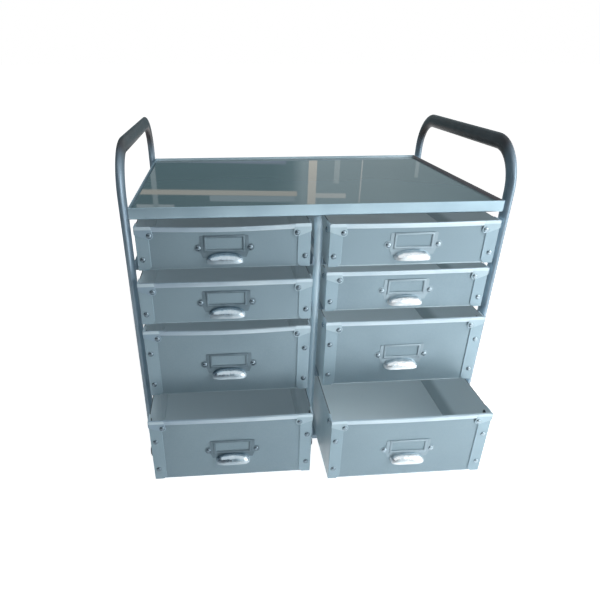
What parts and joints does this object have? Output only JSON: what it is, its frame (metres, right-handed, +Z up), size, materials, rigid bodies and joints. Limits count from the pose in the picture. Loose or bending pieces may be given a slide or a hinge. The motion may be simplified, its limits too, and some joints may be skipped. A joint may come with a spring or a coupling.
{
  "type": "storage cabinet",
  "caption": "Free-standing cabinet with two columns of pull-out drawers in a bent tube frame, raised side handles and a glass top tray.",
  "frame": {"origin": "on the floor plane under the middle of the box round the cabinet, drawers as they stand at rest", "axes": "+X to the right seen from the front, +Y to the back, +Z up"},
  "size_m": [0.5566, 0.5218, 0.51],
  "materials": {
    "tube_paint": "silver-blue metallic paint, satin gloss",
    "rail_paint": "silver-blue metallic paint, satin gloss",
    "runner_paint": "silver-blue metallic paint, satin",
    "glass": "polished, grey-green, over a dark board",
    "backing_board": "hard board under the glass, lacquered dark grey-green",
    "foot_rubber": "ribbed grey rubber",
    "drawer_board": "silver-grey sheet, satin",
    "edge_metal": "satin metal edge strip",
    "stud_nickel": "nickel-plated rivet heads",
    "pull_chrome": "polished plating"
  },
  "bodies": {
    "frame": {"back_centre_foot": "foot_rubber", "back_left_foot": "foot_rubber", "back_right_foot": "foot_rubber", "bottom_back_bars": "runner_paint", "bottom_front_bars": "runner_paint", "centre_loop": "tube_paint", "centre_runners": "runner_paint", "front_centre_foot": "foot_rubber", "front_left_foot": "foot_rubber", "front_right_foot": "foot_rubber", "glass_backing": "backing_board", "glass_top": "glass", "left_runners": "runner_paint", "right_runners": "runner_paint", "side_loop_left": "tube_paint", "side_loop_right": "tube_paint", "top_back_rail": "rail_paint", "top_front_rail": "rail_paint", "top_left_rail": "rail_paint", "top_right_rail": "rail_paint"},
    "left_top_drawer": {"left_top_drawer_front": "drawer_board", "left_top_drawer_tray": "drawer_board", "left_top_edge_trim": "edge_metal", "left_top_label_pull": "pull_chrome", "left_top_studs": "stud_nickel"},
    "left_second_drawer": {"left_second_drawer_front": "drawer_board", "left_second_drawer_tray": "drawer_board", "left_second_edge_trim": "edge_metal", "left_second_label_pull": "pull_chrome", "left_second_studs": "stud_nickel"},
    "left_third_drawer": {"left_third_drawer_front": "drawer_board", "left_third_drawer_tray": "drawer_board", "left_third_edge_trim": "edge_metal", "left_third_label_pull": "pull_chrome", "left_third_studs": "stud_nickel"},
    "left_bottom_drawer": {"left_bottom_drawer_front": "drawer_board", "left_bottom_drawer_tray": "drawer_board", "left_bottom_edge_trim": "edge_metal", "left_bottom_label_pull": "pull_chrome", "left_bottom_studs": "stud_nickel"},
    "right_top_drawer": {"right_top_drawer_front": "drawer_board", "right_top_drawer_tray": "drawer_board", "right_top_edge_trim": "edge_metal", "right_top_label_pull": "pull_chrome", "right_top_studs": "stud_nickel"},
    "right_second_drawer": {"right_second_drawer_front": "drawer_board", "right_second_drawer_tray": "drawer_board", "right_second_edge_trim": "edge_metal", "right_second_label_pull": "pull_chrome", "right_second_studs": "stud_nickel"},
    "right_third_drawer": {"right_third_drawer_front": "drawer_board", "right_third_drawer_tray": "drawer_board", "right_third_edge_trim": "edge_metal", "right_third_label_pull": "pull_chrome", "right_third_studs": "stud_nickel"},
    "right_bottom_drawer": {"right_bottom_drawer_front": "drawer_board", "right_bottom_drawer_tray": "drawer_board", "right_bottom_edge_trim": "edge_metal", "right_bottom_label_pull": "pull_chrome", "right_bottom_studs": "stud_nickel"}
  },
  "joints": [
    {"name": "left_top_slide", "type": "slide", "parent": "frame", "child": "left_top_drawer", "axis": [0, -1, 0], "range_m": [-0.0039, 0.2361]},
    {"name": "left_second_slide", "type": "slide", "parent": "frame", "child": "left_second_drawer", "axis": [0, -1, 0], "range_m": [-0.0304, 0.2096]},
    {"name": "left_third_slide", "type": "slide", "parent": "frame", "child": "left_third_drawer", "axis": [0, -1, 0], "range_m": [-0.0338, 0.2062]},
    {"name": "left_bottom_slide", "type": "slide", "parent": "frame", "child": "left_bottom_drawer", "axis": [0, -1, 0], "range_m": [-0.0898, 0.1502]},
    {"name": "right_top_slide", "type": "slide", "parent": "frame", "child": "right_top_drawer", "axis": [0, -1, 0], "range_m": [-0.012, 0.228]},
    {"name": "right_second_slide", "type": "slide", "parent": "frame", "child": "right_second_drawer", "axis": [0, -1, 0], "range_m": [-0.0076, 0.2324]},
    {"name": "right_third_slide", "type": "slide", "parent": "frame", "child": "right_third_drawer", "axis": [0, -1, 0], "range_m": [-0.027, 0.213]},
    {"name": "right_bottom_slide", "type": "slide", "parent": "frame", "child": "right_bottom_drawer", "axis": [0, -1, 0], "range_m": [-0.1109, 0.1291]}
  ]
}
